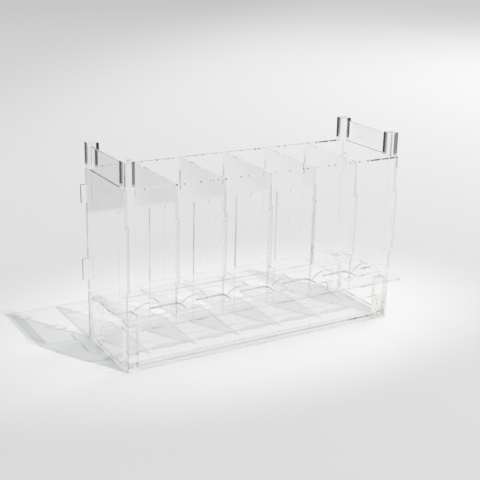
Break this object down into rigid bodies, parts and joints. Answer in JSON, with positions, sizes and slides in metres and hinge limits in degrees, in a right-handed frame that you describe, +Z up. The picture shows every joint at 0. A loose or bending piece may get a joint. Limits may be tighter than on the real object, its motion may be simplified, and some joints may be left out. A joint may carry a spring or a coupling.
{
  "type": "booster pack dispenser",
  "caption": "Stackable clear counter dispenser that holds card packs flat in open columns and gives the lowest pack out over a front lip.",
  "frame": {"origin": "middle of the overall outline, at the table", "axes": "+Z up, +X along the row of columns to the viewer's right, -Y towards the user"},
  "size_m": [0.451, 0.157, 0.2895],
  "materials": {
    "left_side_panel": "clear, polished faces",
    "right_side_panel": "clear, polished faces",
    "divider_1": "clear, polished faces",
    "divider_2": "clear, polished faces",
    "divider_3": "clear, polished faces",
    "divider_4": "clear, polished faces",
    "divider_5": "clear, polished faces",
    "front_panel": "clear, polished faces",
    "back_panel": "clear, polished faces",
    "pack_shelf": "clear, polished faces",
    "base_plate": "clear, polished faces",
    "front_skirt": "clear, polished faces",
    "left_lower_corner_key": "clear, polished faces",
    "left_upper_corner_key": "clear, polished faces",
    "right_lower_corner_key": "clear, polished faces",
    "right_upper_corner_key": "clear, polished faces",
    "pack_riser_1": "clear, polished faces",
    "pack_riser_2": "clear, polished faces",
    "pack_riser_3": "clear, polished faces",
    "pack_riser_4": "clear, polished faces",
    "pack_riser_5": "clear, polished faces",
    "pack_riser_6": "clear, polished faces",
    "front_left_foot": "clear, polished faces",
    "front_left_stacking_post": "clear, polished faces",
    "front_right_foot": "clear, polished faces",
    "front_right_stacking_post": "clear, polished faces",
    "back_left_foot": "clear, polished faces",
    "back_left_stacking_post": "clear, polished faces",
    "back_right_foot": "clear, polished faces",
    "back_right_stacking_post": "clear, polished faces",
    "left_stacking_plate": "clear, polished faces",
    "right_stacking_plate": "clear, polished faces"
  },
  "bodies": {
    "frame": {"left_side_panel": "left_side_panel", "right_side_panel": "right_side_panel", "divider_1": "divider_1", "divider_2": "divider_2", "divider_3": "divider_3", "divider_4": "divider_4", "divider_5": "divider_5", "back_panel": "back_panel", "pack_shelf": "pack_shelf", "base_plate": "base_plate", "front_skirt": "front_skirt", "left_lower_corner_key": "left_lower_corner_key", "left_upper_corner_key": "left_upper_corner_key", "right_lower_corner_key": "right_lower_corner_key", "right_upper_corner_key": "right_upper_corner_key", "pack_riser_1": "pack_riser_1", "pack_riser_2": "pack_riser_2", "pack_riser_3": "pack_riser_3", "pack_riser_4": "pack_riser_4", "pack_riser_5": "pack_riser_5", "pack_riser_6": "pack_riser_6", "front_left_foot": "front_left_foot", "front_left_stacking_post": "front_left_stacking_post", "front_right_foot": "front_right_foot", "front_right_stacking_post": "front_right_stacking_post", "back_left_foot": "back_left_foot", "back_left_stacking_post": "back_left_stacking_post", "back_right_foot": "back_right_foot", "back_right_stacking_post": "back_right_stacking_post", "left_stacking_plate": "left_stacking_plate", "right_stacking_plate": "right_stacking_plate"},
    "front_panel": {"front_panel": "front_panel"}
  },
  "joints": [
    {"name": "front_panel_lift", "type": "slide", "parent": "frame", "child": "front_panel", "axis": [0, 0, 1], "range_m": [0, 0.0065]}
  ]
}
